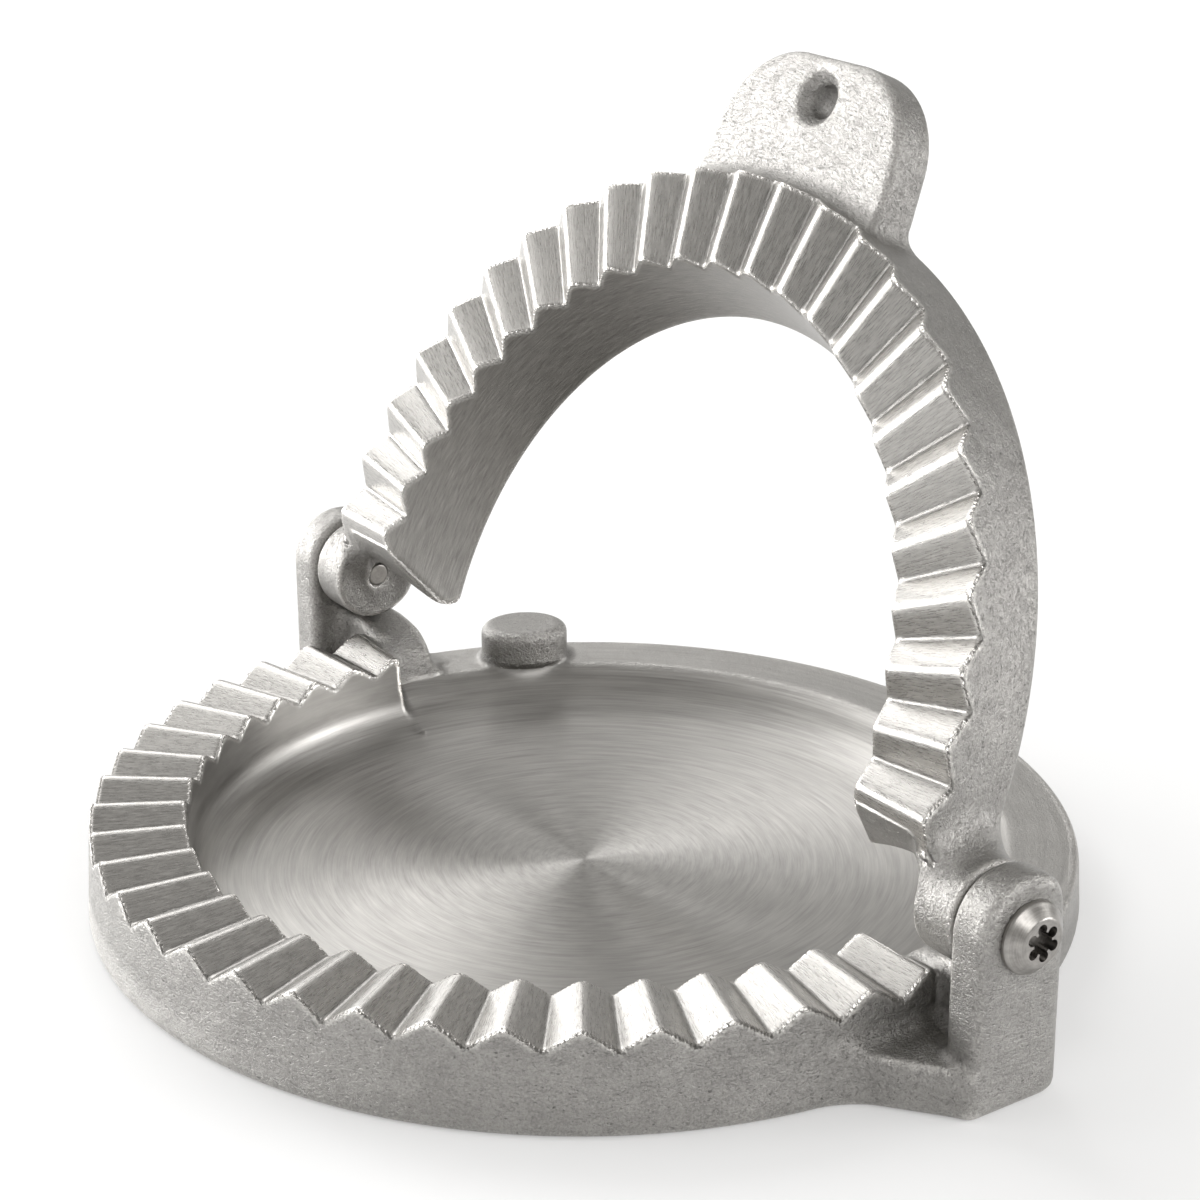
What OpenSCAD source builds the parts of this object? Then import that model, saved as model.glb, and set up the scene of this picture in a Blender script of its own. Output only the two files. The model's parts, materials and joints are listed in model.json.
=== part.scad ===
// Crimping press for filled pastry rounds, cast in aluminium.
// A dish with a toothed rim on its front half carries two upright ears. A toothed half ring, the arch,
// swings on two screws that pass through the ears. It closes down onto the rim, where its teeth drop
// between the teeth of the rim, and opens until its back lies on two round bosses behind the hinge.
// Frame: +Z up, the origin at the centre of the dish's underside, X along the hinge, teeth toward -Y.

/* [Dish] */
// Outer radius of the dish at the table
foot_r = 76; // [68:0.5:90]
// How far the outer wall leans in from the table to the tooth crests
wall_lean = 1; // [0.4:0.1:2]
// Thickness of the dish floor
floor_t = 3.5; // [2.5:0.1:5]
// Height of the plain lip behind the hinge
lip_z = 9.2; // [7.5:0.1:11]
// Width of the plain lip
lip_w = 12.5; // [11:0.1:15]
// Fillet where the dish floor turns up
dish_fillet = 5; // [2:0.1:6]
// Rounding of the bottom edge
foot_round = 1.6; // [0.6:0.1:2.4]

/* [Teeth] */
// Height of the tooth crests of the rim above the table
crest_z = 16; // [15:0.1:18]
// Width of the toothed band, measured along a radius
band_w = 14.4; // [12:0.1:18]
// Depth of the teeth at the outer wall
tooth_h = 3.3; // [2.4:0.1:3.6]
// Angle between neighbouring teeth, in degrees
tooth_pitch = 7.8; // [7.6:0.05:8]
// Teeth on each side of the front crest
teeth_side = 12; // [11:1:12]
// Half width of the softened crest of a tooth
crest_half = 0.65; // [0.4:0.05:0.9]
// Clearance between the meshed teeth when closed
mesh_gap = 0.4; // [0.3:0.05:0.8]
// How far the toothed rim runs on behind the centre line
rim_end_y = 5; // [3.5:0.1:6]
// Draft of the rim's inner wall
rim_draft = 1.2; // [0.4:0.1:2]

/* [Hinge] */
// Distance of the hinge axis behind the dish centre
hinge_y = 8.8; // [8.6:0.1:10]
// Height of the hinge axis above the table
hinge_z = 25.6; // [25:0.1:28]
// Radius of the knuckle at each end of the arch
knuckle_r = 7.8; // [7:0.1:8.2]
// Thickness of the knuckle
knuckle_t = 7.7; // [6.5:0.1:9]
// How far the knuckle's inner face lies inside the rim's outer radius
knuckle_bite = 0.8; // [0.6:0.1:1.5]
// Side gap between knuckle and ear
side_gap = 0.3; // [0.2:0.05:0.5]
// Thickness of the ears
ear_t = 6.8; // [5.5:0.1:9]
// Radius of the rounded ear top, half the width of the ear
ear_r = 8.4; // [8:0.1:10]
// Rounding of the ear's back outer corner, seen from above
ear_corner = 4; // [2:0.1:5]
// Height of the web that joins an ear to the dish
web_z = 7.8; // [6:0.1:9]
// How far in front of the dish centre the web leaves the dish
web_y = 11; // [6:0.5:16]
// Clearance between the knuckle and the ledge under it
ledge_gap = 0.6; // [0.4:0.1:1.5]
// How far the ledge slopes down inward over the lip
ledge_ramp = 10; // [6:0.5:12]

/* [Arch] */
// Swing of the arch from closed, in degrees
open_angle = 114; // [0:1:184]
// Height of the arch from its tooth crests to its back
arch_h = 15.6; // [14.5:0.1:16]
// How far the inner wall leans in from the teeth to the back
arch_in_lean = 6.2; // [3:0.1:8]
// How far the outer wall leans in from the teeth to the back
arch_out_lean = 0.6; // [0.2:0.1:1.2]
// Rounding of the back edges
arch_round = 1.6; // [0.6:0.1:2.4]
// How far the arch's toothed face runs on behind the centre line
arch_end_y = 2; // [1:0.1:4.4]
// How far the end face leans back over the height of the arch
arch_end_lean = 8.5; // [5:0.1:9]
// Half the opening angle of the scoop that clears the knuckle's inner face round the screw point, in degrees
scoop_spread = 31; // [29:0.5:33]
// Lean of the scoop from upright when closed, in degrees
scoop_lean = 52; // [40:1:58]
// Distance of the scoop's point in front of the hinge axis
scoop_y = 8.4; // [7:0.1:9]
// Distance of the scoop's point below the hinge axis
scoop_z = 4.6; // [3:0.1:5]
// Length of the neck that blends a knuckle into the arch
neck_l = 6; // [4:0.1:8]
// Fillet between the neck and the arch's outer wall
neck_round = 4; // [2:0.1:4.5]

/* [Tab] */
// Width of the thumb tab at its root
tab_w = 43; // [34:0.5:50]
// How much narrower the tab is at its outer end
tab_taper = 4; // [0:0.5:8]
// How far the tab reaches beyond the arch
tab_out = 19.8; // [17:0.1:26]
// Thickness of the tab
tab_t = 7.4; // [6:0.1:9]
// Depth of the tab's front face behind the arch's tooth crests
tab_back = 5.6; // [4:0.1:7]
// Corner radius of the tab
tab_corner = 13; // [5:0.5:14]
// Diameter of the hanging hole
hang_d = 5; // [4:0.1:6]
// Diameter of the countersink round the hanging hole
sink_d = 8.8; // [7:0.1:10]
// Distance of the hanging hole from the tab's outer end
hang_edge = 6.4; // [6:0.1:9]

/* [Screws] */
// Diameter of the screw shank
screw_d = 6; // [5:0.1:6.4]
// Running clearance of the shank in the ear, on the diameter
run_fit = 0.1; // [0.04:0.01:0.16]
// Clearance of the shank in the knuckle, on the diameter
thread_fit = 0.04; // [0.02:0.01:0.08]
// Diameter of the button head
head_d = 10.5; // [9.5:0.1:12]
// Height of the button head
head_h = 2.4; // [2.2:0.1:3.4]
// Gap under the head
head_gap = 0.05; // [0.02:0.01:0.15]
// Across the points of the six-lobed socket
socket_d = 5.6; // [4.4:0.1:5.8]
// Depth of the socket
socket_deep = 1.9; // [1.4:0.1:2.2]
// Diameter of the point that shows on the knuckle's inner face
point_d = 3.8; // [3:0.1:4.2]
// Length of the point
point_l = 2.2; // [1.6:0.1:3]
// How far the point's dome stands out of the knuckle
point_out = 0.35; // [0.2:0.05:0.6]

/* [Bosses] */
// Diameter of the stop bosses
boss_d = 15; // [12:0.5:17]
// Height of the bosses above the table
boss_z = 16.3; // [14:0.1:16.6]
// Bearing of a boss from the hinge direction, in degrees
boss_bearing = 26.5; // [24:0.5:40]
// Rounding of the boss top
boss_round = 1.3; // [0.5:0.1:2]
// How far a boss stays inside the outer wall
boss_inset = 0.5; // [0.2:0.1:1.5]

/* [Hidden] */
$fn = 96;
corner_steps = 5;
cut_over = 1;

// radii of the toothed band
rim_r = foot_r - wall_lean;
band_in_r = rim_r - band_w;
dish_r = foot_r - lip_w;

// teeth: each crest runs level along a radius, with flat flanks that meet in the valleys
// share of the crest's half width that is level; the rest is a bevel at half the flank's slope
land_share = 0.45;
half_pitch = tooth_pitch / 2;
land_w = crest_half * land_share;
flank_shift = crest_half * (1 + land_share) / 2;
outer_half = rim_r * sin(half_pitch);
inner_half = band_in_r * sin(half_pitch);
tooth_slope = tooth_h / (outer_half - flank_shift);
arch_crest_z = crest_z - tooth_slope * (inner_half - 2 * flank_shift) + mesh_gap;
arch_back_z = arch_crest_z + arch_h;
groove_w = outer_half * 2.3;
groove_in_r = band_in_r - band_w;
groove_l = 3 * band_w;

// stations along the hinge axis, from the dish outward
knuckle_in_x = rim_r - knuckle_bite;
knuckle_out_x = knuckle_in_x + knuckle_t;
ear_in_x = knuckle_out_x + side_gap;
ear_out_x = ear_in_x + ear_t;
ledge_z = hinge_z - knuckle_r - ledge_gap;
ledge_y0 = rim_end_y + ledge_gap * 2;

// the scoop runs out beyond the arch's back
scoop_l = 2 * arch_h;

// boss place
boss_r = foot_r - boss_inset - boss_d / 2;

// unit vector and a point on a ray
function unit(v) = v / norm(v);

// points of the arc that rounds corner b between a and c with radius r
function corner_arc(a, b, c, r) =
    let (u = unit(a - b), v = unit(c - b), t = acos(u * v), run = r / tan(t / 2),
         m = b + unit(u + v) * r / sin(t / 2), p = b + u * run - m, q = b + v * run - m, w = 180 - t)
    [for (i = [0 : corner_steps]) m + (p * sin(w * (1 - i / corner_steps)) + q * sin(w * i / corner_steps)) / sin(w)];

// outline with rounded corners: pts is a list of [x, y], rad the radius at each, zero for a sharp corner
function rounded(pts, rad) =
    let (n = len(pts))
    [for (i = [0 : n - 1])
        for (p = rad[i] > 0 ? corner_arc(pts[(i + n - 1) % n], pts[i], pts[(i + 1) % n], rad[i]) : [pts[i]]) p];

// cut beside one crest, on its +Y side: the level top is at height zero and the cut is above it
module flank_cut() {
    rotate([90, 0, 90]) translate([0, 0, groove_in_r]) linear_extrude(groove_l) polygon([
        [land_w, cut_over], [land_w, 0], [crest_half, -tooth_slope * (crest_half - flank_shift)],
        [groove_w, -tooth_slope * (groove_w - flank_shift)], [groove_w, cut_over]]);
}

// valley between two crests, at bearing a from -Y
module groove(a) {
    intersection() {
        rotate([0, 0, a - half_pitch - 90]) flank_cut();
        rotate([0, 0, a + half_pitch - 90]) mirror([0, 1, 0]) flank_cut();
    }
}

// outer form of the dish and its rim, before the back is cut down to the lip
module dish_blank() {
    rotate_extrude() polygon(rounded(
        [[0, 0], [foot_r, 0], [rim_r, crest_z], [0, crest_z]], [0, foot_round, 0, 0]));
}

// hollow of the dish with mouth radius r at height z
module dish_hollow(r, z) {
    rotate_extrude() polygon(rounded(
        [[0, floor_t], [r - rim_draft, floor_t], [r, z], [r, crest_z + cut_over], [0, crest_z + cut_over]],
        [0, dish_fillet, 0, 0, 0]));
}

// dish with the toothed front half of its rim and the plain lip behind
module dish() {
    reach = foot_r + cut_over;
    difference() {
        dish_blank();
        dish_hollow(band_in_r, crest_z);
        intersection() {
            dish_hollow(dish_r, lip_z);
            translate([-reach, rim_end_y, 0]) cube([2 * reach, reach, crest_z + 2 * cut_over]);
        }
        translate([-reach, rim_end_y, lip_z]) cube([2 * reach, reach, crest_z]);
        for (k = [-teeth_side : teeth_side - 1])
            translate([0, 0, crest_z]) groove((k + 1 / 2) * tooth_pitch);
    }
}

// foot of the ear seen from above: it flares out of the dish wall in front and behind
module foot_plan() {
    ear_front = hinge_y - ear_r;
    ear_back = hinge_y + ear_r;
    root_x = rim_r - band_w / 2;
    polygon(rounded(
        [[root_x, -web_y], [rim_r - wall_lean, -web_y], [ear_out_x, ear_front], [ear_out_x, ear_back],
         [rim_r - wall_lean, ear_back + ear_r], [root_x, ear_back]],
        [0, 0, foot_round, ear_corner, 0, 0]));
}

// one ear with its web and the ledge under the knuckle, on the +X side
module ear_block() {
    root_x = rim_r - band_w / 2;
    // upright ear with a round top
    intersection() {
        translate([ear_in_x, hinge_y, 0]) rotate([90, 0, 90]) linear_extrude(ear_t + cut_over) {
            translate([-ear_r, 0]) square([2 * ear_r, hinge_z]);
            translate([0, hinge_z]) circle(r = ear_r);
        }
        linear_extrude(hinge_z + ear_r + cut_over) foot_plan();
    }
    // web in front of the ear and behind it
    linear_extrude(web_z) foot_plan();
    // ledge under the knuckle, which slopes down inward over the lip
    translate([0, ledge_y0, 0]) mirror([0, 1, 0]) rotate([90, 0, 0])
        linear_extrude(hinge_y + ear_r * 2 / 3 - ledge_y0) polygon([
            [root_x, lip_z / 2], [ear_in_x + ear_t / 2, lip_z / 2], [ear_in_x + ear_t / 2, ledge_z],
            [rim_r - band_w / 6, ledge_z], [rim_r - band_w / 6 - ledge_ramp / 2, ledge_z - ledge_ramp / 5],
            [rim_r - band_w / 6 - ledge_ramp * 0.9, lip_z], [rim_r - band_w / 6 - ledge_ramp * 0.9, lip_z / 2]]);
}

// running bore through both ears
module ear_bore() {
    translate([0, hinge_y, hinge_z]) rotate([0, 90, 0])
        translate([0, 0, ear_in_x - cut_over]) cylinder(d = screw_d + run_fit, h = ear_t + 2 * cut_over);
}

// round stop boss on the lip, on the +X side, turned flush with the dish wall
module boss() {
    difference() {
        rotate([0, 0, boss_bearing]) translate([boss_r, 0, 0])
            rotate_extrude() polygon(rounded(
                [[0, floor_t / 2], [boss_d / 2, floor_t / 2], [boss_d / 2, boss_z], [0, boss_z]],
                [0, 0, boss_round, 0]));
        dish_hollow(dish_r, lip_z);
    }
}

module base() {
    color([0.74, 0.74, 0.73]) difference() {
        union() {
            dish();
            for (s = [0, 1]) mirror([s, 0, 0]) {
                ear_block();
                boss();
            }
        }
        for (s = [0, 1]) mirror([s, 0, 0]) ear_bore();
    }
}

// places the closed arch at its present swing
module swing() {
    translate([0, hinge_y, hinge_z]) rotate([-open_angle, 0, 0]) translate([0, -hinge_y, -hinge_z]) children();
}

// toothed half ring with its leaning end faces
module arch_ring() {
    reach = foot_r + cut_over;
    back_in = band_in_r - arch_in_lean;
    low = arch_crest_z - cut_over;
    top = arch_back_z + cut_over;
    difference() {
        rotate_extrude() polygon(rounded(
            [[band_in_r, arch_crest_z], [rim_r, arch_crest_z], [rim_r - arch_out_lean, arch_back_z],
             [back_in, arch_back_z]],
            [0, 0, arch_round, arch_round]));
        for (k = [-teeth_side : teeth_side])
            translate([0, 0, arch_crest_z]) mirror([0, 0, 1]) groove(k * tooth_pitch);
        translate([-reach, 0, 0]) rotate([90, 0, 90]) linear_extrude(2 * reach) polygon([
            [arch_end_y, low], [arch_end_y, arch_crest_z], [arch_end_y + arch_end_lean, arch_back_z],
            [arch_end_y + arch_end_lean, top], [reach, top], [reach, low]]);
    }
}

// thumb tab with its countersunk hanging hole
module tab() {
    tab_z = arch_crest_z + tab_back;
    end_y = -rim_r - tab_out;
    root_y = -rim_r + band_w / 2;
    difference() {
        translate([0, 0, tab_z]) linear_extrude(tab_t) polygon(rounded(
            [[-tab_w / 2, root_y], [-tab_w / 2, -rim_r], [-tab_w / 2 + tab_taper / 2, end_y],
             [tab_w / 2 - tab_taper / 2, end_y], [tab_w / 2, -rim_r], [tab_w / 2, root_y]],
            [0, 0, tab_corner, tab_corner, 0, 0]));
        translate([0, end_y + hang_edge, tab_z - cut_over]) cylinder(d = hang_d, h = tab_t + 2 * cut_over);
        translate([0, end_y + hang_edge, tab_z - cut_over])
            cylinder(d1 = sink_d + 2 * cut_over, d2 = hang_d, h = (sink_d - hang_d) / 2 + cut_over);
    }
}

// knuckle on the +X side, with the neck that blends it into the arch
module knuckle() {
    neck_out_x = knuckle_out_x - side_gap;
    neck_h = knuckle_r * 1.5;
    translate([0, hinge_y, hinge_z]) {
        rotate([0, 90, 0]) translate([0, 0, knuckle_in_x]) cylinder(r = knuckle_r, h = knuckle_t);
        translate([0, 0, -neck_h / 2]) linear_extrude(neck_h) polygon(rounded(
            [[knuckle_in_x, -knuckle_r / 2], [neck_out_x, -knuckle_r / 2], [neck_out_x, -knuckle_r],
             [rim_r + knuckle_bite, -knuckle_r - neck_l / 6], [rim_r - knuckle_bite, -knuckle_r - neck_l],
             [knuckle_in_x - knuckle_bite, -knuckle_r - neck_l]],
            [0, 0, 0, neck_round, 0, 0]));
    }
}

// stepped hole for the screw and its point, and the scoop that clears the knuckle's inner face
module knuckle_cuts() {
    deep = knuckle_t - point_l;
    translate([0, hinge_y, hinge_z]) {
        rotate([0, 90, 0]) {
            translate([0, 0, knuckle_out_x - deep]) cylinder(d = screw_d + thread_fit, h = deep + cut_over);
            translate([0, 0, knuckle_in_x - cut_over]) cylinder(d = point_d + thread_fit, h = knuckle_t);
        }
        translate([knuckle_in_x, -scoop_y, -scoop_z]) rotate([-scoop_lean, 0, 0])
            rotate([0, -scoop_spread, 0]) cylinder(r1 = 0, r2 = scoop_l * tan(scoop_spread), h = scoop_l);
    }
}

module arch() {
    color([0.78, 0.78, 0.77]) swing() difference() {
        union() {
            arch_ring();
            tab();
            for (s = [0, 1]) mirror([s, 0, 0]) knuckle();
        }
        for (s = [0, 1]) mirror([s, 0, 0]) knuckle_cuts();
    }
}

// six-lobed socket outline
module socket_outline() {
    lobe_r = socket_d / 7;
    core_r = socket_d / 2 - lobe_r;
    dip_r = socket_d / 6;
    difference() {
        circle(r = core_r + lobe_r / 3);
        for (i = [0 : 5]) rotate(i * 60 + 30) translate([core_r + lobe_r / 3 + dip_r / 4, 0]) circle(r = dip_r);
    }
    for (i = [0 : 5]) rotate(i * 60) translate([core_r, 0]) circle(r = lobe_r);
}

// button-head screw on the +X side, with its point through the knuckle
module screw() {
    under = ear_out_x + head_gap;
    step_x = knuckle_in_x + point_l;
    tip_x = knuckle_in_x - point_out;
    flat_r = socket_d / 2 + head_h / 4;
    side_h = head_h / 4;
    translate([0, hinge_y, hinge_z]) rotate([0, 90, 0]) difference() {
        rotate_extrude() polygon(rounded(
            [[0, tip_x], [point_d / 2, tip_x], [point_d / 2, step_x + thread_fit], [screw_d / 2, step_x + thread_fit],
             [screw_d / 2, under], [head_d / 2, under], [head_d / 2, under + side_h], [flat_r, under + head_h],
             [0, under + head_h]],
            [0, point_out, 0, 0, 0, 0, side_h, side_h, 0]));
        translate([0, 0, under + head_h - socket_deep]) linear_extrude(socket_deep + cut_over) socket_outline();
    }
}

module screw_right() {
    color([0.62, 0.58, 0.54]) swing() screw();
}

module screw_left() {
    color([0.62, 0.58, 0.54]) swing() mirror([1, 0, 0]) screw();
}

base();
arch();
screw_right();
screw_left();
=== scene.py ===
# Look of the empanada press: two castings as smooth filleted forms, metal finishes, floor, light and camera.
# Lengths are millimetres in the casting's own frame and become metres where a mesh is made.
import json
import math
import bpy
import numpy as np
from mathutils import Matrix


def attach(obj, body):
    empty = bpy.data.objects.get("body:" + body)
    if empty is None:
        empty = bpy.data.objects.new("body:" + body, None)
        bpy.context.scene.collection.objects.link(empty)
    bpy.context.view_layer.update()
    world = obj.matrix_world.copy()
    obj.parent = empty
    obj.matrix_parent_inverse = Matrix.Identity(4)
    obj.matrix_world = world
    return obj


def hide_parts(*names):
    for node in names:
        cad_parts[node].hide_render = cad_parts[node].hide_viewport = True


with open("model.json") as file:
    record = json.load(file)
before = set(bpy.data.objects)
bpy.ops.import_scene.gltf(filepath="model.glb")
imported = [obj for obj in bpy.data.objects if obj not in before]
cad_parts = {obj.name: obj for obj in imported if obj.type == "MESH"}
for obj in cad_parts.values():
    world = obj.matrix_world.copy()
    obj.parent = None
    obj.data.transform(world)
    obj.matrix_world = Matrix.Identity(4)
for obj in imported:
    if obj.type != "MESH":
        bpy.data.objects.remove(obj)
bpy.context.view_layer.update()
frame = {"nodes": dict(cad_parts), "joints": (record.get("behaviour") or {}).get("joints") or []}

import openvdb
from mathutils import Matrix, Vector

# One millimetre in metres
MM = 0.001

# Dish
foot_r = 76.0
wall_lean = 1.0
rim_r = foot_r - wall_lean
floor_t = 3.5
lip_z = 9.2
lip_w = 12.5
foot_round = 1.6
# radius inside which the lip's plane runs on to the hollow
teeth_in_r = foot_r - 1.5 * lip_w
# room that keeps the mesh inside the solid's box
box_room = 0.03
# fillet of the dish in front, and behind the teeth, where the mouth is wider
dish_fillet = 5.0
lip_fillet = 11.0
lip_fillet_out = 1.2
# edge roundings in front, and how much wider they are behind
outer_edge = 0.5
outer_edge_more = 0.5
mouth_edge = 0.55
mouth_edge_more = 1.5
# lengths over which the front's edges and mouth turn into the back's
edge_blend = 2.0
mouth_blend = 1.0

# Teeth
crest_z = 16.0
band_w = 14.4
band_in_r = rim_r - band_w
tooth_h = 3.3
tooth_pitch = math.radians(7.8)
teeth_side = 12
crest_soft = 0.47
crest_wear = 0.85
valley_soft = 0.35
tooth_slope = tooth_h / (rim_r * math.sin(tooth_pitch / 2) - crest_soft)
flank_slant = 1 / math.hypot(1, tooth_slope)
flank_edge = 0.5
rim_end_y = 5.0
rim_end_round = 1.2
rim_end_fillet = 1.5
rim_draft = 1.2
mesh_gap = 0.4

# Hinge and ears
hinge_y, hinge_z = [v / MM for v in frame["joints"][0]["pos_m"][1:]]
knuckle_r = 7.8
knuckle_t = 7.7
knuckle_inset = 0.8
knuckle_in_x = rim_r - knuckle_inset
knuckle_out_x = knuckle_in_x + knuckle_t
knuckle_round = 0.9
knuckle_fillet = 5.5
ear_gap = 0.3
ear_in_x = knuckle_out_x + ear_gap
ear_t = 6.8
ear_out_x = ear_in_x + ear_t
ear_r = 8.4
ear_corner = 4.5
ear_edge = 1.7
ear_fillet = 2.5
bore_r = 3.05
bore_edge = 0.4
screw_hole_r = 1.93
screw_hole_in = 3.0
screw_hole_edge = 0.25
# room that the knuckle turns in
turn_gap = 0.45
turn_in = 2.5
turn_side = 0.02
turn_edge = 0.3

# Web round the foot of the ear
web_y = 11.0
web_z = 7.8
web_in = 1.0
web_round = 1.0
web_fall = 0.06
web_fillet = 1.5

# Ledge under the knuckle
ledge_gap = 0.6
ledge_z = hinge_z - knuckle_r - ledge_gap
ledge_x = rim_r - band_w / 6
ledge_run = 5.0
ledge_drop = 2.0
ledge_toe = 9.0
ledge_round = 2.0
ledge_shift = 1.5
ledge_half_w = 4.1
ledge_side_round = 1.5
ledge_in_ear = 1.0
ledge_fillet = 2.5

# Arch, closed; its crests stand half a pitch from the rim's
crest_shift = 0.5
arch_crest_z = crest_z - tooth_slope * (band_in_r * math.sin(tooth_pitch / 2) - 2 * crest_soft) + mesh_gap
arch_h = 15.6
arch_back_z = arch_crest_z + arch_h
arch_in_lean = 6.2
arch_out_lean = 0.6
arch_round = 1.6
arch_end_y = 2.0
arch_end_lean = 8.5
arch_end_round = 1.4
scoop_y = 8.4
scoop_z = 4.6
scoop_tip = (knuckle_in_x, hinge_y - scoop_y, hinge_z - scoop_z)
scoop_r = 13.2
scoop_l = 22.0
scoop_open = math.atan(scoop_r / scoop_l)
scoop_lean = math.radians(52)
scoop_edge = 0.9
open_turn = math.radians(114)

# Tab
tab_w = 43.0
tab_taper = 4.0
tab_out = 19.8
tab_t = 7.4
tab_rise = 5.6
tab_z = arch_crest_z + tab_rise
tab_corner = 13.0
tab_round = 1.5
tab_root = 5.0
tab_fillet = 2.6
hang_r = 2.5
sink_r = 4.4
hang_in = 6.4
hang_y = -rim_r - tab_out + hang_in
hang_edge = 0.3

# Bosses
boss_r = 7.5
boss_deep = 6.3
boss_z = 15.4
boss_at = 69.2
boss_bearing = math.radians(26.5)
boss_round = 1.6
boss_fillet = 1.4

# Mesh cells, and how many of them lie round a form and hold its distances
BASE_CELL = 0.45
ARCH_CELL = 0.42
MARGIN_CELLS = 6
BAND_CELLS = 3
# Bend of the surface at which an edge is worn bare; in hollows the same bend sets the painted corner shade
WORN_BEND = 1.6

# How near a surface lies to a tool's cut to show its marks, and how softly the marks end
dish_skin = 0.15
flank_skin = 0.1
inner_skin = 0.15
end_fade = 0.6
lip_over = 0.7
lip_fade = 0.5
floor_under = 0.5
lip_turned = 0.6
lip_reach = 1.5
rim_over = 0.5
# Heights over the floor of the dish where the long streaks are full, end, and lose their own material
streak_full_z = 1.0
streak_end_z = 3.0
streak_top_z = 3.2


# Solid forms as distance fields

def join(a, b, r):
    """Union of two fields with a fillet of radius r where they meet."""
    return np.maximum(r, np.minimum(a, b)) - np.hypot(np.maximum(r - a, 0), np.maximum(r - b, 0))


def meet(a, b, r):
    """What two fields share, with the edge between them rounded to radius r."""
    return np.minimum(-r, np.maximum(a, b)) + np.hypot(np.maximum(a + r, 0), np.maximum(b + r, 0))


def plane(u, v, from_uv, to_uv):
    """Signed distance from the line between two points, positive on its right-hand side."""
    du, dv = to_uv[0] - from_uv[0], to_uv[1] - from_uv[1]
    return ((u - from_uv[0]) * dv - (v - from_uv[1]) * du) / math.hypot(du, dv)


def crest_height(x, y, shift, last):
    """How far the tooth flanks lie below the crests, which are moved by a share of the pitch."""
    rho = np.hypot(x, y)
    place = np.arctan2(x, -y) / tooth_pitch - shift
    off = np.abs(place - np.clip(np.round(place), -last - shift, last - shift))
    near = rho * np.sin(off * tooth_pitch)
    far = rho * np.sin(np.clip(1 - off, 0, None) * tooth_pitch)
    drop_near, drop_far = [tooth_slope * (np.sqrt(d * d + crest_wear ** 2) - crest_soft) for d in (near, far)]
    share = np.clip(0.5 + 0.5 * (drop_far - drop_near) / valley_soft, 0, 1)
    return drop_far + (drop_near - drop_far) * share - valley_soft * share * (1 - share)


def rim_flanks(x, y, z):
    return (z - crest_z + crest_height(x, y, 0, teeth_side)) * flank_slant


def arch_flanks(x, y, z):
    return (arch_crest_z + crest_height(x, y, crest_shift, teeth_side - crest_shift) - z) * flank_slant


def hollow(x, y, z, mouth_r, mouth_z, fillet):
    wall_r = mouth_r - rim_draft * (mouth_z - np.minimum(z, mouth_z)) / (mouth_z - floor_t)
    return meet(np.hypot(x, y) - wall_r, floor_t - z, fillet)


def dish_hollow(x, y, z):
    """Hollow of the dish; behind the teeth it is wider and flows into the lip with a larger fillet."""
    front = hollow(x, y, z, band_in_r, crest_z, dish_fillet)
    back = hollow(x, y, z, foot_r - lip_w + lip_fillet_out, lip_z, lip_fillet)
    return front + (back - front) * np.clip((y - rim_end_y) / mouth_blend + 0.5, 0, 1)


def ledge_field(x, y, z):
    shoulder, toe = (ledge_x - ledge_run, ledge_z - ledge_drop), (ledge_x - ledge_toe, lip_z)
    ledge = meet(z - ledge_z, plane(x, z, (ledge_x, ledge_z), shoulder), ledge_round)
    ledge = meet(ledge, plane(x, z, shoulder, toe), ledge_round)
    ledge = meet(ledge, np.abs(y - hinge_y - ledge_shift) - ledge_half_w, ledge_side_round)
    return np.maximum(ledge, x - ear_in_x - ledge_in_ear)


def ear_field(x, y, z):
    """Ear, and the web round its foot, whose top falls a little toward the ear."""
    web = meet(plane(x, y, (rim_r - web_in, -web_y), (ear_out_x, hinge_y - ear_r)),
               plane(x, y, (ear_out_x, hinge_y + ear_r), (rim_r - web_in, hinge_y + 2 * ear_r)), web_round)
    web = meet(web, z - web_z - web_fall * (ear_in_x - x), web_round)
    web = np.maximum(web, rim_r - band_w / 2 - x)
    ear = np.hypot(y - hinge_y, np.maximum(z - hinge_z, 0)) - ear_r
    ear = join(meet(ear, ear_in_x - x, ear_edge), web, web_fillet)
    side = meet(x - ear_out_x, y - hinge_y - ear_r, ear_corner)
    return meet(ear, side, ear_edge)


def boss_field(x, y, z):
    out = x * math.cos(boss_bearing) + y * math.sin(boss_bearing) - boss_at
    across = y * math.cos(boss_bearing) - x * math.sin(boss_bearing)
    boss = (np.hypot(across / boss_r, out / boss_deep) - 1) * boss_deep
    return meet(boss, z - boss_z, boss_round)


def base_field(x, y, z):
    rho = np.hypot(x, y)
    wall = rho - foot_r + box_room + wall_lean * z / crest_z
    teeth = meet(rim_flanks(x, y, z), y - rim_end_y, rim_end_round)
    top = join(teeth, z - lip_z, rim_end_fillet)
    behind = np.clip((y - rim_end_y) / edge_blend + 0.5, 0, 1)
    solid = meet(wall, top, outer_edge + outer_edge_more * behind)
    solid = np.where(rho > teeth_in_r, solid, z - lip_z)
    solid = meet(solid, -dish_hollow(x, y, z), mouth_edge + mouth_edge_more * behind)
    solid = join(solid, ledge_field(x, y, z), ledge_fillet)
    solid = join(solid, ear_field(x, y, z), ear_fillet)
    solid = join(solid, boss_field(x, y, z), boss_fillet)
    solid = meet(solid, -z, foot_round)
    # bore, and the room the knuckle turns in
    turn = np.hypot(y - hinge_y, z - hinge_z)
    solid = meet(solid, np.minimum(bore_r - turn, x - rim_r), bore_edge)
    room = np.maximum(turn - knuckle_r - turn_gap, np.maximum(rim_r - turn_in - x, x - ear_in_x + turn_side))
    return meet(solid, -room, turn_edge)


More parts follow.
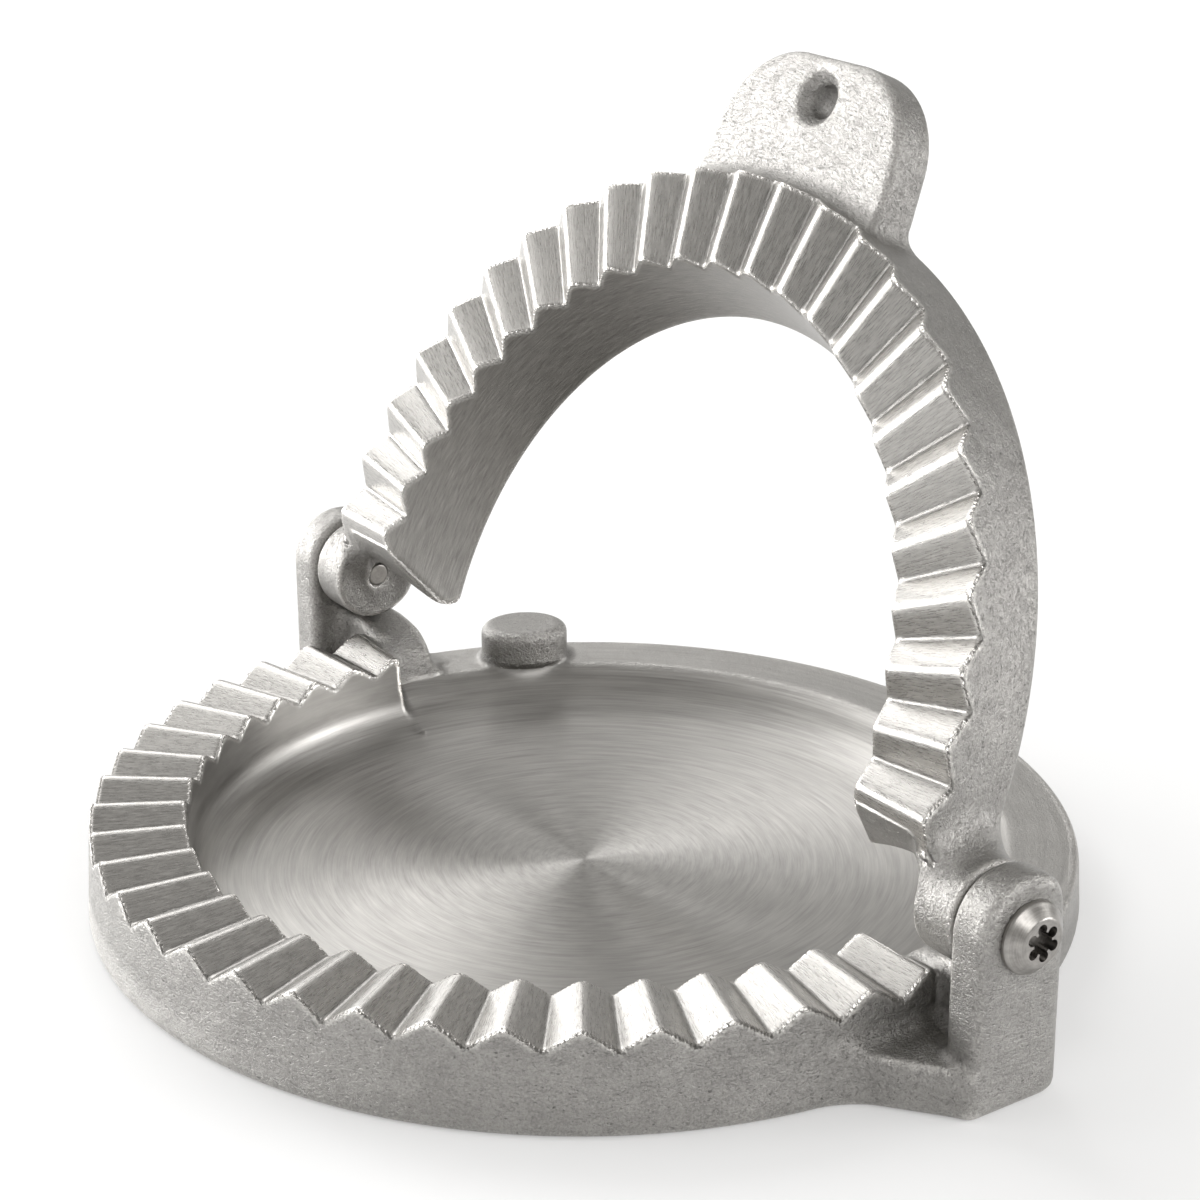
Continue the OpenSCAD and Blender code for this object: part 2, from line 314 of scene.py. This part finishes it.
def arch_wall_in(x, y, z):
    lean = math.atan(arch_in_lean / arch_h)
    return (band_in_r - arch_in_lean * (z - arch_crest_z) / arch_h - np.hypot(x, y)) * math.cos(lean)


def scoop_field(x, y, z):
    """Cone beside the screw point."""
    along = (-math.sin(scoop_open), math.cos(scoop_open) * math.sin(scoop_lean),
             math.cos(scoop_open) * math.cos(scoop_lean))
    dx, dy, dz = x - scoop_tip[0], y - scoop_tip[1], z - scoop_tip[2]
    t = dx * along[0] + dy * along[1] + dz * along[2]
    away = dx ** 2 + dy ** 2 + dz ** 2 - t * t
    return np.sqrt(np.maximum(away, 0)) * math.cos(scoop_open) - t * math.sin(scoop_open)


def tab_field(x, y, z):
    share = np.clip((-rim_r - y) / tab_out, 0, 1)
    plan = meet(np.abs(x) - tab_w / 2 + share * tab_taper / 2, -rim_r - tab_out - y, tab_corner)
    tab = meet(plan, np.abs(z - tab_z - tab_t / 2) - tab_t / 2, tab_round)
    return np.maximum(tab, y + rim_r - tab_root)


def arch_field(x, y, z):
    outer = np.hypot(x, y) - rim_r + arch_out_lean * (z - arch_crest_z) / arch_h
    ring = np.maximum(meet(outer, z - arch_back_z, arch_round),
                      meet(arch_wall_in(x, y, z), z - arch_back_z, arch_round))
    ring = meet(ring, arch_flanks(x, y, z), flank_edge)
    end = plane(y, z, (arch_end_y, arch_crest_z), (arch_end_y + arch_end_lean, arch_back_z))
    solid = meet(ring, end, arch_end_round)
    # knuckle and the fillet into the outer wall
    turn = np.hypot(y - hinge_y, z - hinge_z)
    knuckle = meet(turn - knuckle_r, np.abs(x - (knuckle_in_x + knuckle_out_x) / 2) - knuckle_t / 2,
                   knuckle_round)
    solid = join(solid, knuckle, knuckle_fillet)
    solid = meet(solid, -scoop_field(x, y, z), scoop_edge)
    solid = meet(solid, np.minimum(screw_hole_r - turn, x - rim_r + screw_hole_in), screw_hole_edge)
    # tab with its countersunk hole
    solid = join(solid, tab_field(x, y, z), tab_fillet)
    hole = np.hypot(x, y - hang_y)
    sink = (hole - sink_r + (z - tab_z)) * math.sqrt(0.5)
    return meet(meet(solid, hang_r - hole, hang_edge), -sink, hang_edge)


# Meshing

def sample(grid, points, low, step):
    """Values of a grid at the points, by linear interpolation."""
    at = (points - low) / step
    cell = np.clip(np.floor(at).astype(int), 0, np.array(grid.shape[:3]) - 2)
    part = at - cell
    total = 0
    for i in (0, 1):
        for j in (0, 1):
            for k in (0, 1):
                weight = (np.abs(1 - i - part[:, 0]) * np.abs(1 - j - part[:, 1])
                          * np.abs(1 - k - part[:, 2]))
                values = grid[cell[:, 0] + i, cell[:, 1] + j, cell[:, 2] + k]
                total = total + values * weight
    return total


def soften(grid):
    """Mean of each cell with its neighbours along all three axes."""
    for axis in range(3):
        grid = (np.roll(grid, 1, axis) + 2 * grid + np.roll(grid, -1, axis)) / 4
    return grid


def cast_mesh(name, field, low, high, step):
    """Mesh of a field that is symmetric in x, with each vertex's place, normal and bend of the surface."""
    margin = MARGIN_CELLS * step
    xs = np.arange(0, high[0] + margin, step)
    ys = np.arange(low[1] - margin, high[1] + margin, step)
    zs = np.arange(low[2] - margin, high[2] + margin, step)
    half = field(xs[:, None, None].astype(np.float32), ys[None, :, None].astype(np.float32),
                 zs[None, None, :].astype(np.float32)).astype(np.float32)
    half = np.broadcast_to(half, (len(xs), len(ys), len(zs)))
    full = np.concatenate([half[:0:-1], half])
    start = np.array([-xs[-1], ys[0], zs[0]])
    bend = sum(np.roll(full, s, a) for a in range(3) for s in (1, -1)) - 6 * full
    bend = soften(soften(bend / step ** 2))
    band = BAND_CELLS * step
    grid = openvdb.FloatGrid(band)
    grid.copyFromArray(np.ascontiguousarray(np.clip(full, -band, band)))
    points, triangles, quads = grid.convertToPolygons(isovalue=0.0, adaptivity=0.0)
    points = points.astype(np.float64) * step + start
    mesh = bpy.data.meshes.new(name)
    faces = [np.asarray(f) for f in (triangles, quads) if len(f)]
    mesh.vertices.add(len(points))
    mesh.loops.add(sum(f.size for f in faces))
    mesh.polygons.add(sum(len(f) for f in faces))
    mesh.loops.foreach_set("vertex_index", np.concatenate([f.ravel() for f in faces]).astype(np.int32))
    sizes = np.concatenate([np.full(len(f), f.shape[1]) for f in faces])
    mesh.polygons.foreach_set("loop_start", (np.cumsum(sizes) - sizes).astype(np.int32))
    slope = [sample(np.roll(full, -1, a) - np.roll(full, 1, a), points, start, step) for a in range(3)]
    normals = np.stack(slope, 1)
    normals /= np.linalg.norm(normals, axis=1, keepdims=True)
    return mesh, points, normals, sample(bend, points, start, step)


def finish_mesh(mesh, points, normals, bend, zones, turn):
    """Stores the places and finishes, turns the casting about the hinge and brings it to metres."""
    wear_and_corner_shade = np.clip(bend / WORN_BEND, -1, 1)
    made = mesh.attributes.new("made_at", "FLOAT_VECTOR", "POINT")
    made.data.foreach_set("vector", points.astype(np.float32).ravel())
    area = mesh.attributes.new("zones", "FLOAT_COLOR", "POINT")
    # the last channel holds the bend: bare worn metal on edges, painted shade in hollow corners
    area.data.foreach_set("color", np.concatenate([zones, wear_and_corner_shade[:, None]], 1).astype(np.float32).ravel())
    pivot = np.array([0, hinge_y, hinge_z])
    c, s = math.cos(turn), math.sin(turn)
    spin = np.array([[1, 0, 0], [0, c, -s], [0, s, c]])
    placed = ((points - pivot) @ spin.T + pivot) * MM
    mesh.vertices.foreach_set("co", placed.astype(np.float32).ravel())
    mesh.update(calc_edges=True)
    mesh.validate()
    mesh.polygons.foreach_set("use_smooth", np.ones(len(mesh.polygons), bool))
    mesh.normals_split_custom_set_from_vertices((normals @ spin.T).astype(np.float32))


def add_casting(name, node, body, mesh, mats, special=None):
    """Object of a casting; faces whose vertices are all special get the second material."""
    obj = bpy.data.objects.new(name, mesh)
    bpy.context.scene.collection.objects.link(obj)
    for mat in mats:
        mesh.materials.append(mat)
    if special is not None:
        corners = np.empty(len(mesh.loops), np.int32)
        mesh.loops.foreach_get("vertex_index", corners)
        starts = np.empty(len(mesh.polygons), np.int32)
        mesh.polygons.foreach_get("loop_start", starts)
        chosen = np.minimum.reduceat(special[corners], starts).astype(np.int32)
        mesh.polygons.foreach_set("material_index", chosen)
    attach(obj, body)
    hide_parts(node)


# Finishes over a casting, as shares of turned, brushed and ground metal

def step_to(value, width):
    """One where the value is within the width of zero, falling evenly to zero at twice the width."""
    return np.clip(2 - np.abs(value) / width, 0, 1)


def base_zones(x, y, z):
    rho = np.hypot(x, y)
    in_front = np.clip((rim_end_y + end_fade - y) / end_fade, 0, 1)
    in_dish = dish_hollow(x, y, z)
    below_lip = np.clip((lip_z + lip_over - z) / lip_fade, 0, 1)
    lip = (1 - in_front) * below_lip * (z > floor_t - floor_under) * np.clip(rim_r - rho, 0, 1)
    low = np.maximum(in_front, below_lip)
    lip_share = lip_turned + (1 - lip_turned) * np.clip(lip_reach - in_dish, 0, 1)
    turned = np.maximum(step_to(in_dish, dish_skin) * low, lip * lip_share)
    brushed = step_to(rim_flanks(x, y, z), flank_skin) * in_front * (rho < rim_r + rim_over)
    return np.stack([turned, brushed, 0 * x], 1)


def arch_zones(x, y, z):
    brushed = step_to(arch_flanks(x, y, z), flank_skin)
    ground = step_to(arch_wall_in(x, y, z), inner_skin)
    return np.stack([0 * x, brushed, ground], 1)


# Materials

# Noises: scale per millimetre, detail, roughness, distortion
GRAIN = (2.8, 4.0, 0.65, 0.0)
STREAKS = (1.6, 4.0, 0.65, 1.2)
SWELL = (0.13, 2.0, 0.5, 0.0)
PITS = (2.6, 1.0, 0.5, 0.0)
CURLS = (0.8, 2.0, 0.6, 1.8)
CURL_BREAKS = (0.7, 1.0, 0.6, 0.0)
RINGS = (3.4, 5.0, 0.75, 0.0)
LONG_RINGS = (1.1, 3.0, 0.55, 0.0)
BRUSHING = (5.0, 4.0, 0.7, 0.0)
GRINDING = (3.6, 5.0, 0.7, 0.3)
SCREW_MARKS = (4.0, 3.0, 0.6, 0.0)
# the one noise that is sampled in metres
SCREW_SPOTS = (900.0, 3.0, 0.6, 0.0)
# Where most of a noise's values lie, and where those of mixed noises do
SPAN = (0.3, 0.7)
CAST_SPAN = (0.38, 0.62)
RING_SPAN = (0.36, 0.64)
SCREW_SPAN = (0.7, 1.3)
# Values between which a pit, a break in the flow lines, a bare edge and the painted shade of a hollow corner
# begin and are full
PIT_SPAN = (0.25, 0.33)
BREAK_SPAN = (0.53, 0.45)
WORN_SPAN = (0.35, 0.95)
CORNER_SHADE_SPAN = (-0.1, -0.7)
# half width of a flow line in its noise, and how much the grain roughens the border of a bare edge
LINE_W = 0.03
WORN_GRAIN = 0.7
# shares of fine and coarse marks in a tone
FINE, COARSE = 0.6, 0.4

# Lowest and highest tone of each finish
CAST_TONES = (0.29, 0.43)
RING_TONES = (0.30, 0.46)
BRUSH_TONES = (0.32, 0.56)
GRIND_TONES = (0.30, 0.50)
SCREW_TONES = (0.26, 0.44)
WORN_TONE = 0.72
# Painted shade: factors that darken the tone in hollow corners and inside a screw's socket
CORNER_PAINTED_SHADE = 0.5
SOCKET_PAINTED_SHADE = 0.6
SWELL_SHADES = (0.94, 1.06)
PIT_SHADE = 0.6
LINE_SHADE = 0.74
# Green and blue of each metal as shares of its red
CAST_WARMTH = (0.972, 0.93)
SCREW_WARMTH = (0.96, 0.91)

# Lowest and highest roughness of each finish
CAST_ROUGH = (0.31, 0.41)
RING_ROUGH = (0.34, 0.46)
BRUSH_ROUGH = (0.22, 0.36)
GRIND_ROUGH = (0.32, 0.46)
SCREW_ROUGH = (0.26, 0.40)
WORN_ROUGH = 0.2

# Heights of the marks
GRAIN_H = 0.13
STREAK_H = 0.2
SWELL_H = 0.5
NICK_H = 0.05
RING_H = 0.03
BRUSH_H = 0.04
GRIND_H = 0.09
SCREW_MARK_H = 0.02

# Radius that turns bearings into lengths, and how far each kind of mark is drawn out
ARC_R = 70.0
SKIN_ALONG = 0.6
RING_ALONG = 0.008
LONG_RING_ALONG = 0.05
BRUSH_ALONG = 0.09
GRIND_ALONG = 0.07
GRIND_ACROSS = 0.4

# Long streaks of light on the turned floor of the dish
STREAK = 0.92
STREAK_ROTATION = 0.25

# Socket of a screw: heights over the ear's face and radii between which its painted shade ends
SOCKET_TOP = (1.9, 2.3)
SOCKET_EDGE = (2.75, 2.85)
SOCKET_UNDER = 1.0


class Web:
    """Short names for building a material's nodes."""

    def __init__(self, mat):
        mat.use_nodes = True
        self.tree = mat.node_tree
        self.shader = self.tree.nodes["Principled BSDF"]

    def put(self, socket, value):
        if isinstance(value, bpy.types.NodeSocket):
            self.tree.links.new(value, socket)
        else:
            socket.default_value = value

    def node(self, kind, inputs=(), **settings):
        made = self.tree.nodes.new(kind)
        for key, value in settings.items():
            setattr(made, key, value)
        for key, value in dict(inputs).items():
            self.put(made.inputs[key], value)
        return made

    def math(self, operation, a, b=0.0, clamp=False):
        made = self.node("ShaderNodeMath", {0: a, 1: b}, operation=operation)
        made.use_clamp = clamp
        return made.outputs[0]

    def times(self, a, b):
        return self.math("MULTIPLY", a, b)

    def total(self, *parts):
        """Sum of values, each given with its factor."""
        value, factor = parts[0]
        result = self.times(value, factor)
        for value, factor in parts[1:]:
            result = self.math("ADD", result, self.times(value, factor))
        return result

    def radius(self, a, b):
        return self.math("SQRT", self.math("ADD", self.times(a, a), self.times(b, b)))

    def noise(self, place, scale, detail, rough, distort):
        made = self.node("ShaderNodeTexNoise", {"Vector": place, "Scale": scale, "Detail": detail,
                                                "Roughness": rough, "Distortion": distort})
        return made.outputs["Fac"]

    def ramp(self, value, low, high, to_low=0.0, to_high=1.0):
        made = self.node("ShaderNodeMapRange", {"Value": value, "From Min": low, "From Max": high,
                                                "To Min": to_low, "To Max": to_high})
        return made.outputs["Result"]

    def mix(self, share, a, b):
        made = self.node("ShaderNodeMix", {0: share, 2: a, 3: b}, data_type="FLOAT")
        return made.outputs[0]

    def place(self, x, y, z):
        return self.node("ShaderNodeCombineXYZ", {0: x, 1: y, 2: z}).outputs[0]

    def metal(self, tone, warmth, rough):
        """Sets the shader to bare metal of a tone and its warmth."""
        color = self.node("ShaderNodeCombineColor", {0: tone, 1: self.times(tone, warmth[0]),
                                                     2: self.times(tone, warmth[1])})
        self.put(self.shader.inputs["Base Color"], color.outputs[0])
        self.put(self.shader.inputs["Metallic"], 1.0)
        self.put(self.shader.inputs["Roughness"], rough)

    def bump(self, strength, distance, height):
        made = self.node("ShaderNodeBump", {"Strength": strength, "Distance": distance, "Height": height})
        self.put(self.shader.inputs["Normal"], made.outputs[0])


def cast_skin(w, made, arc, rho, z, grain):
    """Fine grain, curled flow lines, specks drawn out along the wall, and a slow unevenness."""
    along = w.place(w.times(arc, SKIN_ALONG), rho, z)
    streaks = w.noise(along, *STREAKS)
    swell = w.noise(made, *SWELL)
    pits = w.ramp(w.noise(along, *PITS), *PIT_SPAN)
    curl = w.math("ABSOLUTE", w.math("SUBTRACT", w.noise(along, *CURLS), 0.5))
    breaks = w.ramp(w.noise(made, *CURL_BREAKS), *BREAK_SPAN)
    lines = w.math("MAXIMUM", w.ramp(curl, 0.0, LINE_W), breaks, clamp=True)
    tone = w.ramp(w.total((grain, FINE), (streaks, COARSE)), *CAST_SPAN, *CAST_TONES)
    tone = w.times(tone, w.ramp(swell, *SPAN, *SWELL_SHADES))
    tone = w.times(tone, w.ramp(pits, 0.0, 1.0, PIT_SHADE))
    tone = w.times(tone, w.ramp(lines, 0.0, 1.0, LINE_SHADE))
    nicks = w.math("ADD", pits, lines)
    height = w.total((grain, GRAIN_H), (streaks, STREAK_H), (swell, SWELL_H), (nicks, NICK_H))
    return tone, w.ramp(grain, *SPAN, *CAST_ROUGH), height


def turned_marks(w, arc, rho):
    """Fine and long marks round the dish."""
    rings = w.noise(w.place(rho, w.times(arc, RING_ALONG), 0.0), *RINGS)
    long_rings = w.noise(w.place(rho, w.times(arc, LONG_RING_ALONG), 0.0), *LONG_RINGS)
    tone = w.ramp(w.total((rings, FINE), (long_rings, COARSE)), *RING_SPAN, *RING_TONES)
    return tone, w.ramp(rings, *SPAN, *RING_ROUGH), w.total((rings, RING_H), (long_rings, RING_H))


def brushed_marks(w, arc, rho, z):
    """Brushing along the flanks."""
    brush = w.noise(w.place(w.times(rho, BRUSH_ALONG), arc, z), *BRUSHING)
    return w.ramp(brush, *SPAN, *BRUSH_TONES), w.ramp(brush, *SPAN, *BRUSH_ROUGH), w.times(brush, BRUSH_H)


def ground_marks(w, arc, rho, z):
    """Scratches of the ground inner wall, along the wall and across it."""
    grind = w.noise(w.place(w.times(arc, GRIND_ALONG), w.times(rho, GRIND_ACROSS), z), *GRINDING)
    return w.ramp(grind, *SPAN, *GRIND_TONES), w.ramp(grind, *SPAN, *GRIND_ROUGH), w.times(grind, GRIND_H)


def casting_material(name, streak=0.0):
    """Aluminium casting: cast skin, turned dish, brushed flanks, ground inner wall, bright worn edges and
    painted shade in hollow corners.
    """
    mat = bpy.data.materials.new(name)
    w = Web(mat)
    made = w.node("ShaderNodeAttribute", attribute_name="made_at").outputs["Vector"]
    area = w.node("ShaderNodeAttribute", attribute_name="zones")
    shares = w.node("ShaderNodeSeparateColor", {0: area.outputs["Color"]}).outputs
    wear_and_corner_shade = area.outputs["Alpha"]
    axes = w.node("ShaderNodeSeparateXYZ", {0: made})
    x, y, z = [axes.outputs[i] for i in range(3)]
    rho = w.radius(x, y)
    arc = w.times(w.math("ARCTAN2", x, w.times(y, -1.0)), ARC_R)

    grain = w.noise(made, *GRAIN)
    tone, rough, height = cast_skin(w, made, arc, rho, z, grain)
    finishes = (turned_marks(w, arc, rho), brushed_marks(w, arc, rho, z), ground_marks(w, arc, rho, z))
    for i, finish in enumerate(finishes):
        tone, rough, height = [w.mix(shares[i], a, b) for a, b in zip((tone, rough, height), finish)]
    # edges worn bright, and painted shade that darkens the hollow corners
    worn = w.math("ADD", wear_and_corner_shade, w.times(w.math("SUBTRACT", grain, 0.5), WORN_GRAIN))
    worn = w.ramp(worn, *WORN_SPAN)
    corner_shade = w.ramp(wear_and_corner_shade, *CORNER_SHADE_SPAN)
    tone = w.times(w.mix(worn, tone, WORN_TONE), w.ramp(corner_shade, 0.0, 1.0, 1.0, CORNER_PAINTED_SHADE))
    w.metal(tone, CAST_WARMTH, w.mix(worn, rough, WORN_ROUGH))
    w.bump(1.0, MM, height)

    if streak:
        tangent = w.node("ShaderNodeTangent", direction_type="RADIAL", axis="Z")
        w.put(w.shader.inputs["Tangent"], tangent.outputs[0])
        w.put(w.shader.inputs["Anisotropic Rotation"], STREAK_ROTATION)
        low_down = w.ramp(z, floor_t + streak_end_z, floor_t + streak_full_z, 0.0, streak)
        w.put(w.shader.inputs["Anisotropic"], low_down)
    return mat


def screw_material():
    """Plain stainless with fine turning marks about the screw's axis and painted shade darkening the socket.
    """
    mat = bpy.data.materials.new("screw steel")
    w = Web(mat)
    place = w.node("ShaderNodeTexCoord").outputs["Object"]
    axes = w.node("ShaderNodeSeparateXYZ", {0: place})
    x, y, z = [axes.outputs[i] for i in range(3)]
    rho = w.radius(w.math("SUBTRACT", y, hinge_y * MM), w.math("SUBTRACT", z, hinge_z * MM))
    marks = w.noise(w.place(w.times(rho, 1 / MM), 0.0, w.times(x, 1 / MM)), *SCREW_MARKS)
    spots = w.noise(place, *SCREW_SPOTS)
    tone = w.ramp(w.math("ADD", marks, spots), *SCREW_SPAN, *SCREW_TONES)
    # how far a point is out of the socket, and so out of its painted shade: above it, outside it or on the
    # shank
    above = w.ramp(w.math("ABSOLUTE", x), *[(ear_out_x + h) * MM for h in SOCKET_TOP])
    outside = w.ramp(rho, *[r * MM for r in SOCKET_EDGE])
    shank = w.ramp(w.math("ABSOLUTE", x), ear_out_x * MM, (ear_out_x - SOCKET_UNDER) * MM)
    clear = w.math("MAXIMUM", w.math("MAXIMUM", above, outside), shank, clamp=True)
    tone = w.times(tone, w.ramp(clear, 0.0, 1.0, SOCKET_PAINTED_SHADE))
    w.metal(tone, SCREW_WARMTH, w.ramp(marks, *SPAN, *SCREW_ROUGH))
    w.bump(0.5, SCREW_MARK_H * MM, marks)
    return mat


# Castings and screws

base_mesh, at, normals, bend = cast_mesh("base casting", base_field, (0, -foot_r, 0),
                                         (ear_out_x, foot_r, hinge_z + ear_r), BASE_CELL)
finish_mesh(base_mesh, at, normals, bend, base_zones(*at.T), 0.0)
add_casting("base_casting", "base", "base", base_mesh,
            [casting_material("base casting"), casting_material("turned dish", STREAK)],
            at[:, 2] < floor_t + streak_top_z)

arch_mesh, at, normals, bend = cast_mesh("arch casting", arch_field, (0, -rim_r - tab_out, arch_crest_z),
                                         (knuckle_out_x, hinge_y + knuckle_r, hinge_z + knuckle_r), ARCH_CELL)
finish_mesh(arch_mesh, at, normals, bend, arch_zones(*at.T), -open_turn)
add_casting("arch_casting", "arch", "arch", arch_mesh, [casting_material("arch casting")])

steel = screw_material()
for name in ("screw_right", "screw_left"):
    frame["nodes"][name].data.materials.clear()
    frame["nodes"][name].data.materials.append(steel)

# Camera of the photograph: its place in metres, and the turn from world to view as a rotation vector

CAMERA_PLACE = (0.3383, -0.2375, 0.2093)
CAMERA_TURN = (1.7779, 0.9140, -0.6258)
IMAGE_PX = 1200
FOCAL_PX = 2972.4
SENSOR_MM = 36.0

camera_data = bpy.data.cameras.new("camera")
camera_data.sensor_width = SENSOR_MM
camera_data.lens = SENSOR_MM * FOCAL_PX / IMAGE_PX
camera = bpy.data.objects.new("camera", camera_data)
turn = Vector(CAMERA_TURN)
world_to_view = Matrix.Rotation(turn.length, 3, turn.normalized())
camera.matrix_world = Matrix.Translation(CAMERA_PLACE) @ (
    world_to_view.inverted() @ Matrix.Diagonal((1, -1, -1))).to_4x4()
bpy.context.scene.collection.objects.link(camera)
bpy.context.scene.camera = camera
bpy.context.scene.view_settings.view_transform = "Standard"

# Floor and light

FLOOR_HALF = 6.0
FLOOR_TONE = 0.65
FLOOR_ROUGH = 0.8
# strength that lifts the floor to white near the part, and the circle in metres over which it fades
FLOOR_LIFT = 0.3
SWEEP_CENTRE = (-0.35, 0.25)
SWEEP_NEAR, SWEEP_FAR = 0.9, 1.5
ROOM = 0.46
ROOM_TINT = (1, 0.985, 0.96, 1)
# softboxes: bearing from +X and height angle in degrees, width and height in metres, power in watts
BOXES = {
    "left_low": (178, 8, 0.7, 0.4, 2.6),
    "left_high": (172, 40, 0.8, 0.6, 5.0),
    "front_left_low": (-132, 8, 0.7, 0.4, 7.5),
    "far_left_low": (-160, 10, 0.5, 0.4, 8.0),
    "front_left_high": (-120, 48, 0.7, 0.5, 1.6),
    "back_left": (138, 32, 0.7, 0.6, 0.8),
    "back_right": (50, 14, 0.7, 0.4, 5.8),
    "right": (-5, 35, 0.7, 0.5, 4.0),
}
BOX_AWAY = 1.25
BOX_AIM = (0, 0, 0.05)


def floor_material():
    """Pale matt sweep, brought up to white for the eye and for reflections, with its shadows kept."""
    mat = bpy.data.materials.new("floor")
    w = Web(mat)
    w.put(w.shader.inputs["Base Color"], (FLOOR_TONE, FLOOR_TONE, FLOOR_TONE, 1))
    w.put(w.shader.inputs["Roughness"], FLOOR_ROUGH)
    rays = w.node("ShaderNodeLightPath").outputs
    seen = w.math("MAXIMUM", rays["Is Camera Ray"], rays["Is Glossy Ray"])
    seen = w.math("MAXIMUM", seen, rays["Is Transmission Ray"])
    place = w.node("ShaderNodeTexCoord").outputs["Object"]
    away = w.node("ShaderNodeVectorMath", {0: place, 1: (*SWEEP_CENTRE, 0)}, operation="DISTANCE")
    lit = w.ramp(away.outputs["Value"], SWEEP_FAR, SWEEP_NEAR)
    w.put(w.shader.inputs["Emission Color"], (1, 1, 1, 1))
    w.put(w.shader.inputs["Emission Strength"], w.times(w.times(seen, lit), FLOOR_LIFT))
    return mat


floor_mesh = bpy.data.meshes.new("floor")
floor_corners = [(sx * FLOOR_HALF, sy * FLOOR_HALF, 0) for sx, sy in ((-1, -1), (1, -1), (1, 1), (-1, 1))]
floor_mesh.from_pydata(floor_corners, [], [(0, 1, 2, 3)])
floor = bpy.data.objects.new("floor", floor_mesh)
bpy.context.scene.collection.objects.link(floor)
floor.data.materials.append(floor_material())

world = bpy.data.worlds.new("world")
bpy.context.scene.world = world
world.use_nodes = True
world.node_tree.nodes["Background"].inputs["Color"].default_value = ROOM_TINT
world.node_tree.nodes["Background"].inputs["Strength"].default_value = ROOM


def add_softbox(name, bearing, rise, width, height, power):
    data = bpy.data.lights.new(name, "AREA")
    data.shape = "RECTANGLE"
    data.size, data.size_y = width, height
    data.energy = power
    lamp = bpy.data.objects.new(name, data)
    bearing, rise = math.radians(bearing), math.radians(rise)
    toward = Vector((math.cos(rise) * math.cos(bearing), math.cos(rise) * math.sin(bearing), math.sin(rise)))
    lamp.location = toward * BOX_AWAY + Vector(BOX_AIM)
    lamp.rotation_euler = toward.to_track_quat("Z", "Y").to_euler()
    bpy.context.scene.collection.objects.link(lamp)


for name, values in BOXES.items():
    add_softbox(name, *values)
